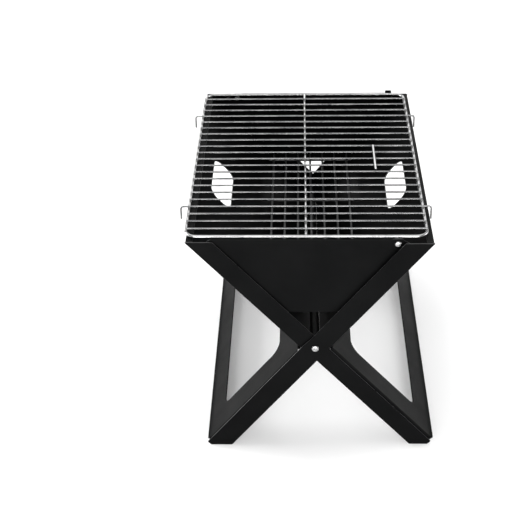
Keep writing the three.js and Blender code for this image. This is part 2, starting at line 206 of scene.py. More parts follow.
def drawn_metal(name, dark, light, rough, scratch, bump):
    """Bare or plated metal: fine marks, cloudy colour and an uneven shine."""
    made, tree, principled, node = shader(name)
    place = node("ShaderNodeTexCoord").outputs["Object"]
    streaks = node("ShaderNodeTexNoise", {"Vector": place, "Scale": scratch, "Detail": 4.0,
                                          "Roughness": 0.65})
    clouds = node("ShaderNodeTexNoise", {"Vector": place, "Scale": 38.0, "Detail": 3.0, "Roughness": 0.5})
    colour = ramp(node, clouds.outputs["Fac"], [(0.32, dark), (0.62, light)])
    tree.links.new(colour, principled.inputs["Base Color"])
    uneven = spread(node, streaks.outputs["Fac"], rough * 0.7, rough * 1.4)
    tree.links.new(uneven, principled.inputs["Roughness"])
    marks = node("ShaderNodeBump", {"Height": streaks.outputs["Fac"], "Strength": bump, "Distance": 0.0001})
    tree.links.new(marks.outputs["Normal"], principled.inputs["Normal"])
    principled.inputs["Metallic"].default_value = 1.0
    return made


PEEL_SCALE = 950.0
POWDER = painted_steel("powder_coat", (0.0018, 0.0019, 0.002), (0.0032, 0.0033, 0.0034),
                       0.42, 0.034, PEEL_SCALE, 0.2)
# the sheets' cut edges and bevels get a far lighter, shinier coat than the faces: the lighter colour is a
# painted highlight along every edge
POWDER_EDGE_PAINTED_HIGHLIGHT = painted_steel("powder_coat_edge_painted_highlight", (0.03, 0.03, 0.0305), (0.05, 0.05, 0.0505),
                            0.3, 0.3, PEEL_SCALE, 0.15)
PAINTED = [POWDER, POWDER_EDGE_PAINTED_HIGHLIGHT]
# the grid's wires are all one chrome, given three brightnesses for how light falls on them: the rib and
# lifting bar lightest, a painted highlight; the frame wire a little darker and the cross bars much darker,
# painted shade
BRIGHT = drawn_metal("chrome_wire_painted_light", (0.42, 0.425, 0.43), (0.62, 0.62, 0.62), 0.2, 700.0, 0.12)
RING = drawn_metal("chrome_ring_wire_painted_shade", (0.34, 0.343, 0.346), (0.5, 0.5, 0.5), 0.2, 700.0, 0.12)
CROSS = drawn_metal("chrome_cross_wire_painted_shade", (0.13, 0.132, 0.135), (0.24, 0.24, 0.24), 0.24, 700.0, 0.15)
WELD = drawn_metal("weld_spots", (0.22, 0.215, 0.21), (0.4, 0.39, 0.38), 0.34, 900.0, 0.4)
DULL = drawn_metal("dull_wire", (0.08, 0.08, 0.082), (0.15, 0.15, 0.15), 0.42, 600.0, 0.3)
ZINC = drawn_metal("zinc_plate", (0.27, 0.27, 0.275), (0.44, 0.44, 0.44), 0.24, 800.0, 0.15)
# the pivot tube's metal is darkened almost to black: a painted shade for where it sits, below the end panels
# between the legs
TUBE_STEEL_PAINTED_SHADE = drawn_metal("tube_steel_painted_shade", (0.003, 0.003, 0.0033), (0.006, 0.006, 0.006), 0.45, 500.0, 0.3)


# ---- pieces ----
def add_piece(name, mesh, materials, body, nodes, bevel=0.0, segments=2):
    """Links a finished mesh as one piece that rides a body and stands for CAD nodes.
    A bevel, where asked for, takes the last material; on the powder-coated sheets that is the lighter edge
    colour, a painted highlight."""
    obj = bpy.data.objects.new(name, mesh)
    bpy.context.scene.collection.objects.link(obj)
    if not mesh.materials:
        for m in materials:
            mesh.materials.append(m)
    mesh.polygons.foreach_set("use_smooth", [True] * len(mesh.polygons))
    if bevel:
        edge = obj.modifiers.new("edges", "BEVEL")
        edge.width = bevel * MM
        edge.segments = segments
        edge.limit_method = "ANGLE"
        edge.angle_limit = math.radians(42)
        edge.material = len(materials) - 1
        edge.miter_outer = "MITER_ARC"
    even = obj.modifiers.new("normals", "WEIGHTED_NORMAL")
    even.weight = 80
    even.keep_sharp = True
    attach(obj, body)
    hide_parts(*nodes)
    return obj


def to_mesh(bm, name):
    """The mesh of a finished bmesh, with its faces turned outwards."""
    bmesh.ops.recalc_face_normals(bm, faces=bm.faces)
    mesh = bpy.data.meshes.new(name)
    bm.to_mesh(mesh)
    bm.free()
    return mesh


def is_inside(p, loop):
    """Whether a point lies in a closed outline, by counting the edges that a ray from it crosses."""
    found = False
    for (ax, ay), (bx, by) in zip(loop, loop[1:] + loop[:1]):
        if (ay > p[1]) != (by > p[1]) and p[0] < (bx - ax) * (p[1] - ay) / (by - ay) + ax:
            found = not found
    return found


def rounded(corners, steps=4):
    """A closed outline from (a, b, radius) corners; steps is the number of chords in each round."""
    loop = []
    count = len(corners)
    for i, (x, y, radius) in enumerate(corners):
        here = Vector((x, y))
        if radius <= 0:
            loop.append((x, y))
            continue
        before = (Vector(corners[i - 1][:2]) - here)
        after = (Vector(corners[(i + 1) % count][:2]) - here)
        half = before.angle(after) / 2
        back = min(radius / math.tan(half), before.length * 0.49, after.length * 0.49)
        radius = back * math.tan(half)
        centre = here + (before.normalized() + after.normalized()).normalized() * radius / math.sin(half)
        start = here + before.normalized() * back - centre
        turn = start.angle_signed(here + after.normalized() * back - centre)
        for k in range(steps + 1):
            a = -turn * k / steps
            loop.append((centre.x + start.x * math.cos(a) - start.y * math.sin(a),
                         centre.y + start.x * math.sin(a) + start.y * math.cos(a)))
    return loop


def circle(x, y, radius, count=20):
    """A closed round outline."""
    turns = [2 * math.pi * k / count for k in range(count)]
    return [(x + radius * math.cos(a), y + radius * math.sin(a)) for a in turns]


def folded_sheet(name, parts, thickness, materials, drawn=None):
    """A sheet from flat blanks. Each part is (loops, cut lines, fold), and parts that share an edge are
    joined, also with the mesh drawn, where there is one. The last material is for the cut edges; on the
    powder-coated sheets its lighter colour is a painted highlight."""
    bm = bmesh.new()
    if drawn:
        bm.from_mesh(drawn)
    for loops, cuts, fold in parts:
        points, edges = [], []
        for loop in loops:
            first = len(points)
            points += [Vector(p[:2]) for p in loop]
            edges += [(first + i, first + (i + 1) % len(loop)) for i in range(len(loop))]
        for a, b in cuts:
            points += [Vector(a), Vector(b)]
            edges.append((len(points) - 2, len(points) - 1))
        flat, _, faces, *_ = geometry.delaunay_2d_cdt(points, edges, [], 0, 1e-4)
        verts = [bm.verts.new(fold(p.x, p.y)) for p in flat]
        for face in faces:
            middle = sum((flat[i] for i in face), Vector((0, 0))) / len(face)
            if is_inside(middle, loops[0]) and not any(is_inside(middle, hole) for hole in loops[1:]):
                bm.faces.new([verts[i] for i in face])
    bmesh.ops.delete(bm, geom=[v for v in bm.verts if not v.link_faces], context="VERTS")
    bmesh.ops.remove_doubles(bm, verts=bm.verts, dist=0.02 * MM)
    bmesh.ops.dissolve_limit(bm, angle_limit=math.radians(0.4), verts=bm.verts, edges=bm.edges)
    bmesh.ops.recalc_face_normals(bm, faces=bm.faces)
    mesh = bpy.data.meshes.new(name)
    bm.to_mesh(mesh)
    bm.free()
    for m in materials:
        mesh.materials.append(m)
    blank = bpy.data.objects.new(name + "_blank", mesh)
    bpy.context.scene.collection.objects.link(blank)
    thick = blank.modifiers.new("thick", "SOLIDIFY")
    thick.thickness = thickness * MM
    thick.offset = 0
    thick.material_offset_rim = len(materials) - 1
    thick.use_even_offset = True
    thick.use_quality_normals = True
    solid = bpy.data.meshes.new_from_object(blank.evaluated_get(bpy.context.evaluated_depsgraph_get()))
    solid.name = name
    bpy.data.objects.remove(blank)
    return solid


def tube_mesh(name, paths, sides=12):
    """Round wires with rounded ends along (points, radius, closed) paths, in millimetres."""
    bm = bmesh.new()
    for points, radius, closed in paths:
        points = [Vector(p) for p in points]
        count = len(points)
        rings = []
        side = None
        for i, p in enumerate(points):
            if closed:
                along = (points[(i + 1) % count] - points[i - 1]).normalized()
            else:
                along = (points[min(i + 1, count - 1)] - points[max(i - 1, 0)]).normalized()
            if side is None:
                up = Vector((0, 0, 1)) if abs(along.z) < 0.9 else Vector((1, 0, 0))
                side = along.cross(up).normalized()
            side = (side - along * side.dot(along)).normalized()
            other = along.cross(side)
            # an open end is rounded off by three rings: each is (shift along, share of the radius)
            steps = [(0.0, 1.0)]
            if not closed and i == 0:
                steps = [(0.0, 0.5), (0.18, 0.87), (0.45, 1.0)]
            if not closed and i == count - 1:
                steps = [(-0.45, 1.0), (-0.18, 0.87), (0.0, 0.5)]
            for shift, share in steps:
                centre = p + along * shift * radius
                ring = []
                for k in range(sides):
                    a = 2 * math.pi * k / sides
                    spoke = (side * math.cos(a) + other * math.sin(a)) * radius * share
                    ring.append(bm.verts.new((centre + spoke) * MM))
                rings.append(ring)
        pairs = list(zip(rings, rings[1:]))
        if closed:
            pairs.append((rings[-1], rings[0]))
        for low, high in pairs:
            for k in range(sides):
                j = (k + 1) % sides
                bm.faces.new((low[k], low[j], high[j], high[k]))
        if not closed:
            bm.faces.new(list(reversed(rings[0])))
            bm.faces.new(rings[-1])
    return to_mesh(bm, name)


def turned(name, profile, place, axis, segments=32, ring=False):
    """A lathe part from (radius, height) points in millimetres, its axis laid along axis from place.
    A ring's profile is closed, so that it has a bore."""
    bm = bmesh.new()
    turn = Vector((0, 0, 1)).rotation_difference(Vector(axis)).to_matrix()
    rows = []
    for radius, height in profile:
        around = circle(0, 0, radius, segments) if radius > 0 else [(0, 0)]
        rows.append([bm.verts.new((Vector(place) + turn @ Vector((x, y, height))) * MM) for x, y in around])
    pairs = list(zip(rows, rows[1:]))
    if ring:
        pairs.append((rows[-1], rows[0]))
    for low, high in pairs:
        for k in range(segments):
            j = (k + 1) % segments
            if len(low) == 1:
                bm.faces.new((low[0], high[j], high[k]))
            elif len(high) == 1:
                bm.faces.new((low[k], low[j], high[0]))
            else:
                bm.faces.new((low[k], low[j], high[j], high[k]))
    return to_mesh(bm, name)


# ---- legs ----
class Leg:
    """One leg's own frame: s up along the leg, y along the pivot, n square to both.
    The left leg is the right one turned half round, so its side is -1."""

    def __init__(self, degrees, side):
        self.sin = math.sin(math.radians(degrees))
        self.cos = math.cos(math.radians(degrees))
        self.side = side

    def along(self, height, across):
        """s at a height over the pivot, on the line that lies at n = across."""
        return (height - across * self.cos) / self.sin

    def reach(self, height, across):
        """The distance out from the pivot at that height, on the same line."""
        return self.along(height, across) * self.cos - across * self.sin

    def from_open(self, x, height):
        """(s, n) of a point given by its distance out and its height over the pivot."""
        return x * self.cos + height * self.sin, -x * self.sin + height * self.cos

    def world(self, s, y, n):
        x = s * self.cos - n * self.sin
        z = s * self.sin + n * self.cos
        return (PIVOT + Vector((self.side * x, self.side * y, z))) * MM


def bend_cuts(start, arc, low, high, steps=4, sign=1):
    """Cut lines across a bend that starts at start, running from low to high."""
    return [((start + sign * arc * k / steps, low), (start + sign * arc * k / steps, high))
            for k in range(steps + 1)]


def leg_tray(leg, name, body, node, hole_shift):
    """Fire wall, rim lip and the two full-length end flanges, bent from one blank."""
    mid = -(WALL_SIDE - SHEET / 2)
    bend = 1.6
    arc = bend * math.pi / 2
    slit = 0.6
    low_face = -(END_FACE - SHEET / 2)
    high_face = INNER_END - SHEET / 2
    wall_low = low_face + bend
    wall_high = high_face - bend
    relief = WALL_START - 0.5

    # the rim lip turns inward to the horizontal
    lip_bend = 0.9
    turn = math.pi - math.atan2(leg.sin, leg.cos)
    rim_s = leg.along(RISE - SHEET / 2, mid)
    lip_start = rim_s - lip_bend * math.tan(turn / 2)
    lip_end = lip_start + lip_bend * turn + LIP - 1.8
    lip_low = -CLEAR_END
    lip_high = wall_high - 0.9
    corner_s = leg.along(RISE, mid + bend)

    def fold_wall(g, v):
        """A point of the blank, carried round the flange bends and the rim bend."""
        out = max(wall_low - g, g - wall_high, 0)
        side = -1 if g < 0 else 1
        if out > 0:
            y = (wall_low if side < 0 else wall_high) + side * bend * math.sin(out / bend)
            return leg.world(v, y, mid + bend * (1 - math.cos(out / bend)))
        if v <= lip_start:
            return leg.world(v, g, mid)
        a = min((v - lip_start) / lip_bend, turn)
        rest = v - lip_start - lip_bend * a
        s = lip_start + lip_bend * math.sin(a) + rest * math.cos(turn)
        n = mid + lip_bend * (1 - math.cos(a)) + rest * math.sin(turn)
        return leg.world(s, g, n)

    outline = [
        (wall_low - arc, WALL_START), (lip_low, WALL_START), (lip_low, WALL_BOTTOM), (lip_high, WALL_BOTTOM),
        (lip_high, WALL_START), (wall_high + arc, WALL_START), (wall_high + arc, corner_s),
        (wall_high, rim_s), (lip_high + slit, rim_s), (lip_high + slit, lip_start), (lip_high, lip_start),
        (lip_high, lip_end), (lip_low, lip_end), (lip_low, lip_start), (lip_low - slit, lip_start),
        (lip_low - slit, rim_s), (wall_low, rim_s), (wall_low - arc, corner_s)]
    middle = leg.along(RISE, -WALL_SIDE) - HAND_HOLE_FROM_RIM
    half_y, half_s = HAND_HOLE_LENGTH / 2, HAND_HOLE_WIDTH / 2
    hole = rounded([(hole_shift + a * half_y, middle + b * half_s, HAND_HOLE_CORNER)
                    for a, b in ((-1, -1), (1, -1), (1, 1), (-1, 1))], 8)
    cuts = bend_cuts(wall_low, arc, WALL_START - 1, rim_s + 3, sign=-1)
    cuts += bend_cuts(wall_high, arc, WALL_START - 1, rim_s + 3)
    rim_lines = [lip_start + lip_bend * turn * k / 6 for k in range(7)]
    cuts += [((lip_low, s), (lip_high, s)) for s in rim_lines]
    parts = [([outline, hole], cuts, fold_wall)]

    # the flanges widen or narrow over a short stretch on each side of the pivot
    jog = 6
    for face, edges in ((low_face, OUTER_EDGES), (high_face, NESTED_EDGES)):
        foot = leg.reach(FOOT_CHAMFER - PIVOT_HEIGHT, edges["frame"])
        heel = leg.from_open(leg.reach(-PIVOT_HEIGHT, -edges["feet"]), -PIVOT_HEIGHT)
        toe = leg.from_open(foot, FOOT_CHAMFER - PIVOT_HEIGHT)
        sole = leg.from_open(foot + FOOT_CHAMFER, -PIVOT_HEIGHT)
        top = leg.from_open(leg.reach(RISE, edges["fire"]), RISE)
        corners = [
            (*heel, 1.5), (-jog, -edges["feet"], 0), (jog, -WALL_SIDE, 0), (relief, -WALL_SIDE, 0),
            (relief, mid + bend, 0), (WALL_START, mid + bend, 0), (corner_s, mid + bend, 0), (*top, 1.5),
            (jog, edges["fire"], 2), (-jog, edges["frame"], 2), (*toe, 1.5), (*sole, 1.5)]
        holes = [circle(0, 0, SCREW_RADIUS + CLEARANCE)]
        parts.append(([rounded(corners)] + holes, [], lambda s, n, y=face: leg.world(s, y, n)))
    add_piece(name, folded_sheet(name, parts, SHEET, PAINTED), PAINTED, body, [node], bevel=EDGE_ROUNDING)


def window_outline(frame_end, grow, steps=6):
    """The foot frame's window, from its corner radii, larger by grow on every side."""
    low, high = frame_end + WINDOW_BORDER - grow, -WINDOW_START + grow
    y0, y1 = -WINDOW_HALF_LENGTH - grow, WINDOW_HALF_LENGTH + grow
    foot_radius, top_radius = WINDOW_FOOT_RADIUS + grow, WINDOW_TOP_RADIUS + grow
    return rounded([(y0, low, foot_radius), (y1, low, foot_radius), (y1, high, top_radius),
                    (y0, high, top_radius)], steps)


def window_edge(leg, frame_end, mid, bend, name):
    """The window's own edge, drawn down in rings, so that the face turns in round the opening."""
    edge = bmesh.new()
    rings = []
    for k in range(4):
        a = k * math.pi / 8
        grow = bend * (1 - math.sin(a))
        drop = bend * (1 - math.cos(a))
        opening = window_outline(frame_end, grow)
        rings.append([edge.verts.new(leg.world(s, y, mid - drop)) for y, s in opening])
    for outer, inner in zip(rings, rings[1:]):
        for i in range(len(outer)):
            j = (i + 1) % len(outer)
            edge.faces.new((outer[i], outer[j], inner[j], inner[i]))
    drawn = bpy.data.meshes.new(name)
    edge.to_mesh(drawn)
    edge.free()
    return drawn


def foot_frame(leg, name, body, node):
    """Pressed panel with a flanged window and a lip along each of its four edges."""
    mid = FRAME_SIDE - SHEET / 2
    bend = 1.5
    arc = bend * math.pi / 2
    lip_flat = LIP - bend - SHEET / 2
    end = leg.along(1 - PIVOT_HEIGHT, FRAME_SIDE - LIP)
    y_low = -END_FACE + SHEET + CLEARANCE + SHEET / 2 + bend
    y_high = INNER_END - SHEET - CLEARANCE - SHEET / 2 - bend
    s_low = end + SHEET / 2 + bend
    s_high = -FRAME_START - SHEET / 2 - bend
    reach = arc + lip_flat
    # the upper lip stops short of the other leg's flange, and a flat tab closes the corner beside it
    lip_start = -CLEAR_END
    tab_end = s_high + SHEET / 2 + bend
    half_slit = 0.3
    drawn_corner = 0.9 * arc
    taper = 1.5

    def bent(value, low, high):
        """A blank coordinate, carried round the bend beyond low or high, and its drop below the face."""
        out = max(low - value, value - high, 0)
        if out == 0:
            return value, 0
        side = -1 if value < low else 1
        edge = low if side < 0 else high
        a = min(out, arc) / bend
        return edge + side * bend * math.sin(a), bend * (1 - math.cos(a)) + max(out - arc, 0)

    def fold(y, s):
        """A point of the blank, carried round the bends of the four lips and kicked out at the foot."""
        kick = min(max(s_low + KICK_WIDTH - s, 0), KICK_WIDTH) * KICK_SLOPE
        on_tab = y < lip_start and s > s_high
        y, drop_y = bent(y, y_low, y_high)
        s, drop_s = (s, 0) if on_tab else bent(s, s_low, s_high)
        return leg.world(s, y, mid - drop_y - drop_s + kick)

    outline = rounded([
        (y_low, s_low, 0), (y_low + taper, s_low - reach, 1), (y_high - taper, s_low - reach, 1),
        (y_high, s_low, 0), (y_high + reach, s_low + taper, 1), (y_high + reach, s_high - taper, 1),
        (y_high + drawn_corner, s_high + drawn_corner, 0), (y_high - taper, s_high + reach, 1),
        (lip_start + 1.2, s_high + reach, 1), (lip_start + half_slit, s_high, 0),
        (lip_start - half_slit, s_high, 0), (lip_start - half_slit, tab_end, 0),
        (y_low, tab_end, 0), (y_low, s_high, 0),
        (y_low - reach, s_high - taper, 1), (y_low - reach, s_low + taper, 1)], 2)
    cuts = bend_cuts(y_low, arc, s_low, s_high, sign=-1) + bend_cuts(y_high, arc, s_low, s_high)
    for start, sign in ((s_low, -1), (s_high, 1)):
        bend_lines = [start + sign * arc * k / 4 for k in range(5)]
        cuts += [((y_low, s), (y_high, s)) for s in bend_lines]
    cuts.append(((y_low - reach, s_low + KICK_WIDTH), (y_high + reach, s_low + KICK_WIDTH)))
    edge_bend = 1.2
    hole = window_outline(end, edge_bend)
    parts = [([outline, hole], cuts, fold)]
    drawn = window_edge(leg, end, mid, edge_bend, name + "_window")
    mesh = folded_sheet(name, parts, SHEET, PAINTED, drawn)
    add_piece(name, mesh, PAINTED, body, [node], bevel=EDGE_ROUNDING)


right_leg = Leg(RIGHT_ANGLE_DEG, 1)
left_leg = Leg(LEFT_ANGLE_DEG, -1)
leg_tray(right_leg, "right_tray_sheet", "right_leg", "right_wall_tray", HAND_HOLE_SHIFT)
leg_tray(left_leg, "left_tray_sheet", "left_leg", "left_wall_tray", -HAND_HOLE_SHIFT)
foot_frame(right_leg, "left_foot_panel", "right_leg", "left_foot_frame")
foot_frame(left_leg, "right_foot_panel", "left_leg", "right_foot_frame")


# ---- fasteners and the pivot ----
def pan_screw(name, place, out, head, shank, length, body, node):
    """Pan head screw with a cross recess cut in its crown."""
    height = head * 0.6
    turns = [math.pi / 2 * k / 7 for k in range(7)]
    dome = [(head * math.cos(a), height * (0.3 + 0.7 * math.sin(a))) for a in turns]
    profile = [(0, -length), (shank * 0.8, -length), (shank, 0.4 - length), (shank, -0.05), (head * 0.94, 0),
               (head, height * 0.1)] + dome + [(0, height)]
    mesh = turned(name, profile, place, out, 40)
    obj = add_piece(name, mesh, [ZINC], body, [node])
    # two crossed bars, narrower at the bottom, cut the recess
    slot_length, slot_width, slot_turn = head * 1.15, head * 0.26, 0.35
    slot_mesh = bmesh.new()
    for turn in (slot_turn, slot_turn + math.pi / 2):
        made = bmesh.ops.create_cube(slot_mesh, size=1)["verts"]
        for v in made:
            taper = 1.0 if v.co.z > 0 else 0.55
            v.co = Vector((v.co.x * slot_length * taper, v.co.y * slot_width * taper,
                           v.co.z * height * 1.4 + height))
            v.co.rotate(Matrix.Rotation(turn, 3, "Z"))
    stand = Vector((0, 0, 1)).rotation_difference(Vector(out)).to_matrix()
    for v in slot_mesh.verts:
        v.co = (Vector(place) + stand @ v.co) * MM
    cutter = bpy.data.objects.new(name + "_recess", to_mesh(slot_mesh, name + "_recess"))
    bpy.context.scene.collection.objects.link(cutter)
    cut = obj.modifiers.new("recess", "BOOLEAN")
    cut.object = cutter
    cut.operation = "DIFFERENCE"
    cut.solver = "EXACT"
    cut.use_self = True
    finished = bpy.data.meshes.new_from_object(obj.evaluated_get(bpy.context.evaluated_depsgraph_get()))
    obj.modifiers.clear()
    obj.data = finished
    finished.set_sharp_from_angle(angle=math.radians(38))
    bpy.data.objects.remove(cutter)


def bored(bore, radius, length, across, down):
    """A ring's profile with its four corners cut off, across measured square to the axis."""
    return [(bore, down), (bore + across, 0), (radius - across, 0), (radius, down), (radius, length - down),
            (radius - across, length), (bore + across, length), (bore, length - down)]


BORE = SCREW_RADIUS + CLEARANCE
WASHER_RADIUS = 7
tube = turned("pivot_spacer_tube", bored(BORE, TUBE_RADIUS, 2 * CLEAR_END, 0.4, 0.5),
              PIVOT + Vector((0, -CLEAR_END, 0)), (0, 1, 0), 32, ring=True)
add_piece("pivot_spacer_tube", tube, [TUBE_STEEL_PAINTED_SHADE], "pivot", ["pivot_tube"])
for place, side in (("front", -1), ("back", 1)):
    out = Vector((0, side, 0))
    pan_screw(f"pivot_cross_screw_{place}", PIVOT + out * (END_FACE + CLEARANCE), out, SCREW_HEAD_RADIUS,
              SCREW_RADIUS, SCREW_LENGTH, "pivot", f"pivot_screw_{place}")
    name = f"pivot_spacer_washer_{place}"
    washer = turned(name, bored(BORE, WASHER_RADIUS, WASHER_ROOM - 2 * CLEARANCE, 0.2, 0.2),
                    PIVOT + out * (INNER_END + CLEARANCE), out, 36, ring=True)
    add_piece(name, washer, [ZINC], "pivot", [f"pivot_washer_{place}"])


# ---- end panels ----
def end_panel(near, far, side, place):
    """Trapezoid sheet with a folded hem, a short bottom return, and its screw and nut at one top corner.
    near is the leg whose outer flange laps the panel, far the other one; side is -1 for the front."""
    body = f"{place}_panel"
    mid = -(PANEL_FACE - SHEET / 2)
    top = RISE + PANEL_ABOVE_RIM
    bottom = PANEL_BOTTOM - PIVOT_HEIGHT
    shoulder = RISE - 9
    screw_z = RISE - PANEL_SCREW_DROP
    from_flange = (PANEL_SCREW_HEAD_RADIUS + 0.4) / near.sin
    screw_x = near.reach(screw_z, OUTER_EDGES["fire"]) - from_flange
    right_top = screw_x + 5
    left_top = -far.reach(RISE, NESTED_EDGES["fire"]) - 3
    hem_bend = 0.62
    hem_start = top - SHEET / 2 - hem_bend
    hem_left = left_top + (EAR_IN + 1 if side > 0 else 0.5)
    hem_right = screw_x - 6
    hem_end = hem_start + math.pi * hem_bend + hem_start - (top - PANEL_HEM)
    foot_bend = 1.2
    foot_start = bottom + SHEET / 2 + foot_bend
    foot_end = foot_start - foot_bend * math.pi / 2 - 4

    def world(x, y, h):
        """The panel's own millimetres in the scene; the back panel is the front one turned half round."""
        return (PIVOT + Vector((-side * x, -side * y, h))) * MM

    def fold(x, v):
        """A point of the blank, carried round the hem at the top or the return at the bottom."""
        if v > hem_start and hem_left - 0.1 < x < hem_right + 0.1:
            a = min((v - hem_start) / hem_bend, math.pi)
            rest = v - hem_start - hem_bend * a
            return world(x, mid - hem_bend * (1 - math.cos(a)), hem_start + hem_bend * math.sin(a) - rest)
        if v < foot_start:
            a = min((foot_start - v) / foot_bend, math.pi / 2)
            rest = foot_start - v - foot_bend * a
            return world(x, mid + foot_bend * (1 - math.cos(a)) + rest, foot_start - foot_bend * math.sin(a))
        return world(x, mid, v)

    low_left, low_right = -far.reach(bottom, PANEL_SIDE), near.reach(bottom, PANEL_SIDE)
    corners = [
        (low_left, foot_start, 0), (low_left + 2, foot_start, 0), (low_left + 3, foot_end, 1),
        (low_right - 3, foot_end, 1), (low_right - 2, foot_start, 0), (low_right, foot_start, 0),
        (near.reach(shoulder, PANEL_SIDE), shoulder, 3), (right_top + 3, top - 3, 3), (right_top, top, 2),
        (hem_right + 0.7, top, 0.5), (hem_right + 0.7, hem_start, 0), (hem_right, hem_start, 0),
        (hem_right, hem_end, 3), (hem_left, hem_end, 2), (hem_left, hem_start, 0)]
    if side > 0:
        ear_top = top + EAR_HEIGHT
        corners += [(left_top + EAR_IN, hem_start, 0), (left_top + EAR_IN, ear_top, 1.5),
                    (left_top - EAR_OUT, ear_top, 1.5), (left_top - EAR_OUT, top - 5, 1)]
    else:
        corners += [(left_top, hem_start, 0), (left_top - 3, top - 3, 2)]
    corners.append((-far.reach(shoulder, PANEL_SIDE), shoulder, 3))
    hem_cuts = [hem_start + math.pi * hem_bend * k / 6 for k in range(7)]
    foot_cuts = [foot_start - foot_bend * math.pi / 8 * k for k in range(5)]
    cuts = [((hem_left, v), (hem_right, v)) for v in hem_cuts]
    cuts += [((low_left - 1, v), (low_right + 1, v)) for v in foot_cuts]
    bore = PANEL_SCREW_RADIUS + CLEARANCE
    loops = [rounded(corners), circle(screw_x, screw_z, bore, 16)]
    name = f"{place}_panel_sheet"
    add_piece(name, folded_sheet(name, [(loops, cuts, fold)], SHEET, PAINTED), PAINTED, body,
              [f"{place}_end_panel"], bevel=EDGE_ROUNDING)
    out = Vector((0, side, 0))
    at = world(screw_x, -PANEL_FACE - CLEARANCE, screw_z) / MM
    pan_screw(f"{place}_panel_cross_screw", at, out, PANEL_SCREW_HEAD_RADIUS, PANEL_SCREW_RADIUS,
              PANEL_SCREW_LENGTH, body, f"{place}_panel_screw")

    # hex nut with rounded edges behind the sheet
    inside = world(screw_x, -PANEL_FACE + SHEET + CLEARANCE, screw_z) / MM
    middle = -side * NUT_THICKNESS / 2
    name = f"{place}_panel_hex_nut"
    flat = ([circle(0, 0, NUT_RADIUS, 6), circle(0, 0, bore, 18)], [],
            lambda a, b: (inside + Vector((a, middle, b))) * MM)
    nut = folded_sheet(name, [flat], NUT_THICKNESS, [ZINC])
    add_piece(name, nut, [ZINC], body, [f"{place}_panel_nut"], bevel=0.35)


end_panel(right_leg, left_leg, -1, "front")
end_panel(left_leg, right_leg, 1, "back")


# ---- cooking grid ----
grid_at = Vector((PIVOT_X + GRID_X, 0, RIM_HEIGHT + CLEARANCE))
bar_height = 2 * GRID_RING_RADIUS + CLEARANCE + GRID_BAR_RADIUS


def ring_path(half_x, half_y, corner, steps=8):
    """The middle line of the grid's frame wire, a rectangle with rounded corners."""
    loop = rounded([(-half_x, -half_y, corner), (half_x, -half_y, corner), (half_x, half_y, corner),
                    (-half_x, half_y, corner)], steps)
    return [grid_at + Vector((x, y + GRID_RING_Y, GRID_RING_RADIUS)) for x, y in loop]


def bar_y(i):
    """Where a cross bar stands; the bars are a little closer together towards the front."""
    half_count = (GRID_BARS - 1) / 2
    step = i - half_count
    return GRID_BARS_Y + step * GRID_PITCH - GRID_DRIFT * (1 - (step / half_count) ** 2)


def add_wire(name, path, radius, material, body, node, closed=False, sides=14):
    """One wire as one piece."""
    add_piece(name, tube_mesh(name, [(path, radius, closed)], sides), [material], body, [node])


MOST_BOW = 0.12
ring = ring_path(GRID_HALF_WIDTH, GRID_HALF_LENGTH, GRID_CORNER)
add_wire("grid_ring_wire", ring, GRID_RING_RADIUS, RING, "cooking_grid", "grid_frame_wire",
         closed=True, sides=16)
for i in range(GRID_BARS):
    centre = grid_at + Vector((0, bar_y(i), bar_height))
    hooked = i in (HOOK_BAR_FROM_END, GRID_BARS - 1 - HOOK_BAR_FROM_END)
    bow = random.uniform(-MOST_BOW, MOST_BOW)
    half = GRID_HALF_WIDTH + 1
    xs = [half * (k / 12 - 1) for k in range(25)]
    path = [centre + Vector((x, bow * math.cos(x / half * math.pi), 0)) for x in xs]
    if hooked:
        out = GRID_HALF_WIDTH + HOOK_REACH
        turns = [math.pi / 2 * k / 6 for k in range(1, 7)]
        down = [(out, -HOOK_DROP), (out, -HOOK_BEND)]
        down += [(out + HOOK_BEND * (math.cos(a) - 1), HOOK_BEND * (math.sin(a) - 1)) for a in turns]
        right = [centre + Vector((x, 0, z)) for x, z in reversed(down)]
        left = [centre + Vector((-x, 0, z)) for x, z in down]
        straight = out - 2 * HOOK_BEND
        path = left + [p for p in path if abs(p.x - centre.x) < straight] + right
    label = str(i + 1).zfill(2)
    add_wire(f"grid_cross_wire_{label}", path, GRID_BAR_RADIUS, CROSS, "cooking_grid", f"grid_bar_{label}")
rib_height = bar_height - GRID_BAR_RADIUS - CLEARANCE - GRID_RIB_RADIUS
rib_half = GRID_HALF_LENGTH - GRID_RING_RADIUS - CLEARANCE
rib_path = [grid_at + Vector((0, GRID_RING_Y + rib_half * (k / 10 - 1), rib_height)) for k in range(21)]
add_wire("grid_rib_wire", rib_path, GRID_RIB_RADIUS, BRIGHT, "cooking_grid", "grid_centre_rib")
lift_height = bar_height + GRID_BAR_RADIUS + CLEARANCE + GRID_RIB_RADIUS
lift_path = [grid_at + Vector((LIFTING_BAR_X, LIFTING_BAR_Y + LIFTING_BAR_HALF * (k / 5 - 1), lift_height))
             for k in range(11)]
add_wire("grid_lifting_wire", lift_path, GRID_RIB_RADIUS, BRIGHT, "cooking_grid", "grid_lifting_bar")

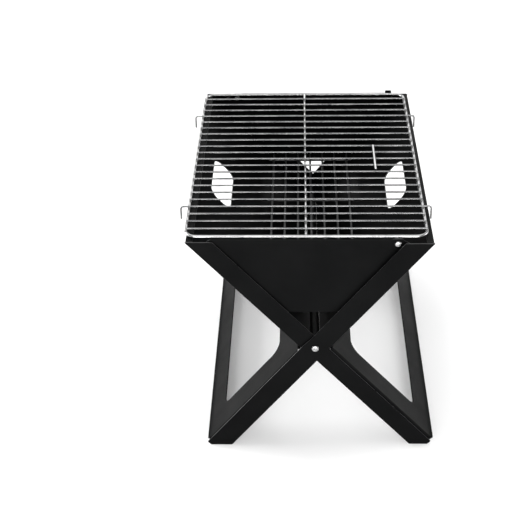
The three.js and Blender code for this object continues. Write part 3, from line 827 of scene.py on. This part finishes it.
# ---- coal grate ----
coal_rise = COAL_HEIGHT - PIVOT_HEIGHT
coal_left = left_leg.reach(coal_rise, -WALL_SIDE + SHEET)
coal_right = right_leg.reach(coal_rise, -WALL_SIDE + SHEET)
from_wall = COAL_WIRE_RADIUS / right_leg.sin + 1.2
coal_half = (coal_left + coal_right) / 2 - from_wall
coal_at = Vector((PIVOT_X + (coal_right - coal_left) / 2, 0, COAL_HEIGHT))
for i, y in enumerate(COAL_CROSS_AT):
    path = [coal_at + Vector((coal_half * (k / 5 - 1), y, 0)) for k in range(11)]
    add_wire(f"coal_cross_wire_{i + 1}", path, COAL_WIRE_RADIUS, DULL, "coal_grate",
             f"coal_grate_cross_{i + 1}")
coal_xs = [(i - (COAL_WIRES - 1) / 2) * COAL_PITCH for i in range(COAL_WIRES)]
for i, x in enumerate(coal_xs):
    height = 2 * COAL_WIRE_RADIUS + CLEARANCE
    path = [coal_at + Vector((x, COAL_HALF_LENGTH * (k / 10 - 1), height)) for k in range(21)]
    add_wire(f"coal_long_wire_{i + 1}", path, COAL_WIRE_RADIUS, DULL, "coal_grate",
             f"coal_grate_bar_{i + 1}")


# ---- spot welds where the wires cross ----
def weld_beads(name, places, size, body, material):
    """Small flattened beads of metal, each a little different."""
    bm = bmesh.new()
    for place in places:
        made = bmesh.ops.create_icosphere(bm, subdivisions=2, radius=1)["verts"]
        stretch = [value * random.uniform(0.88, 1.12) for value in size]
        for v in made:
            v.co = (Vector(place) + Vector(v.co[i] * stretch[i] for i in range(3))) * MM
    obj = bpy.data.objects.new(name, to_mesh(bm, name))
    bpy.context.scene.collection.objects.link(obj)
    obj.data.materials.append(material)
    obj.data.polygons.foreach_set("use_smooth", [True] * len(obj.data.polygons))
    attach(obj, body)


bar_ys = [bar_y(i) for i in range(GRID_BARS)]
under_bars = bar_height - GRID_BAR_RADIUS - CLEARANCE / 2
over_bars = bar_height + GRID_BAR_RADIUS + CLEARANCE / 2
over_coal_cross = COAL_WIRE_RADIUS + CLEARANCE / 2
frame_places = [grid_at + Vector((x, y, under_bars - 0.35)) for y in bar_ys
                for x in (-GRID_HALF_WIDTH, GRID_HALF_WIDTH)]
rib_places = [grid_at + Vector((0, y, under_bars - 0.3)) for y in bar_ys]
lifting_places = [grid_at + Vector((LIFTING_BAR_X, y, over_bars)) for y in bar_ys
                  if abs(y - LIFTING_BAR_Y) < LIFTING_BAR_HALF]
coal_places = [coal_at + Vector((x, y, over_coal_cross)) for x in coal_xs for y in COAL_CROSS_AT]
weld_beads("grid_frame_welds", frame_places, (1.5, 1.5, 0.9), "cooking_grid", WELD)
weld_beads("grid_rib_welds", rib_places, (1.3, 1.5, 0.8), "cooking_grid", WELD)
weld_beads("lifting_bar_welds", lifting_places, (1.3, 1.4, 0.8), "cooking_grid", WELD)
weld_beads("coal_grate_welds", coal_places, (1.3, 1.3, 0.8), "coal_grate", DULL)

# ---- floor, light and camera ----
# the floor glows a little, as a sweep that is lit from below
floor_mesh = bmesh.new()
bmesh.ops.create_grid(floor_mesh, x_segments=8, y_segments=8, size=6)
floor = bpy.data.objects.new("floor", to_mesh(floor_mesh, "floor"))
bpy.context.scene.collection.objects.link(floor)
pale, tree, principled, node = shader("pale_floor")
mottle = node("ShaderNodeTexNoise", {"Scale": 3.0, "Detail": 2.0})
tree.links.new(ramp(node, mottle.outputs["Fac"], [(0.3, (0.9, 0.9, 0.9)), (0.7, (0.93, 0.93, 0.93))]),
               principled.inputs["Base Color"])
principled.inputs["Roughness"].default_value = 0.9
principled.inputs["Specular IOR Level"].default_value = 0.1
principled.inputs["Emission Color"].default_value = (1, 1, 1, 1)
principled.inputs["Emission Strength"].default_value = 0.1
floor.data.materials.append(pale)

world = bpy.data.worlds.new("studio")
world.use_nodes = True
sky = world.node_tree.nodes["Background"].inputs
sky["Color"].default_value = (1, 1, 1, 1)
sky["Strength"].default_value = 0.45
bpy.context.scene.world = world


def soft_box(name, place, size, power, target=(0, 0, 0.2)):
    """A rectangular light in metres and watts, turned towards target."""
    light = bpy.data.lights.new(name, "AREA")
    light.shape = "RECTANGLE"
    light.size, light.size_y = size
    light.energy = power
    obj = bpy.data.objects.new(name, light)
    obj.location = place
    obj.rotation_euler = (Vector(target) - Vector(place)).to_track_quat("-Z", "Y").to_euler()
    bpy.context.scene.collection.objects.link(obj)


soft_box("overhead", (0, 0.5, 2.6), (2.6, 1.6), 30)
soft_box("back", (0, 3.2, 1.5), (4.0, 2.0), 32)
soft_box("left", (-2.4, 0.5, 1.1), (1.8, 1.4), 62)
soft_box("right", (2.4, 0.2, 0.7), (1.6, 0.8), 24)
soft_box("front", (0, -2.4, 0.6), (2.6, 0.8), 75, (0, 0, 0))

# the camera stands in front and looks down; its angles are radians
SENSOR_WIDTH = 36
LENS = 87.31205
CAMERA_FROM_PIVOT = Vector((-21.66, -1500.64, 914.61))
PITCH = 0.5448
YAW = -0.0418
ROLL = -0.0221
look = Vector((math.sin(YAW) * math.cos(PITCH), math.cos(YAW) * math.cos(PITCH), -math.sin(PITCH)))
level = Vector((math.cos(YAW), -math.sin(YAW), 0))
upright = level.cross(look)
across = level * math.cos(ROLL) + upright * math.sin(ROLL)
above = upright * math.cos(ROLL) - level * math.sin(ROLL)
camera = bpy.data.objects.new("camera", bpy.data.cameras.new("camera"))
camera.data.sensor_width = SENSOR_WIDTH
camera.data.lens = LENS
facing = Matrix((across, above, -look)).transposed().to_4x4()
camera.matrix_world = Matrix.Translation((PIVOT + CAMERA_FROM_PIVOT) * MM) @ facing
bpy.context.scene.collection.objects.link(camera)
bpy.context.scene.camera = camera
bpy.context.scene.view_settings.view_transform = "Standard"
